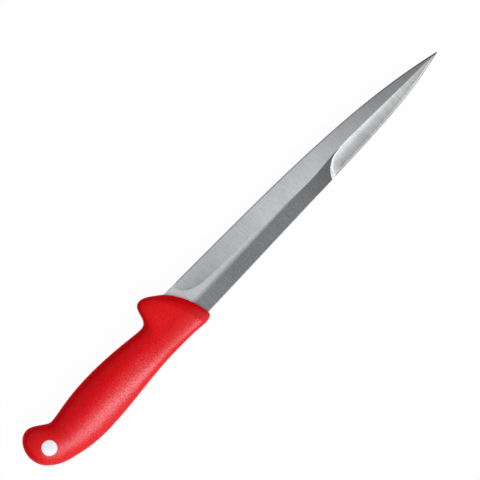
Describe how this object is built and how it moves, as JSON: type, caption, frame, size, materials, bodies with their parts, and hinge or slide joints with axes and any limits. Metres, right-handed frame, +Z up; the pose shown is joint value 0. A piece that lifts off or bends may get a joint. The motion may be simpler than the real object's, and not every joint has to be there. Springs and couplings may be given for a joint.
{
  "type": "sticking knife",
  "caption": "Sticking knife with a narrow pointed blade, ground back towards the tip, and a moulded handle with a finger guard and a hooked butt.",
  "frame": {"origin": "middle of the base of the bounding box, with the knife lying on its flank", "axes": "+X from the handle along the straight back to the point, +Y from the back to the cutting edge, +Z up, square to the blade's flat side"},
  "size_m": [0.3402, 0.0388, 0.023],
  "materials": {
    "blade_steel": "satin ground stainless steel",
    "handle_plastic": "red moulded plastic with a fine matt grain",
    "plug_plastic": "white moulded plastic"
  },
  "bodies": {
    "root": {"blade": "blade_steel", "handle": "handle_plastic", "butt_plug": "plug_plastic"}
  },
  "joints": []
}
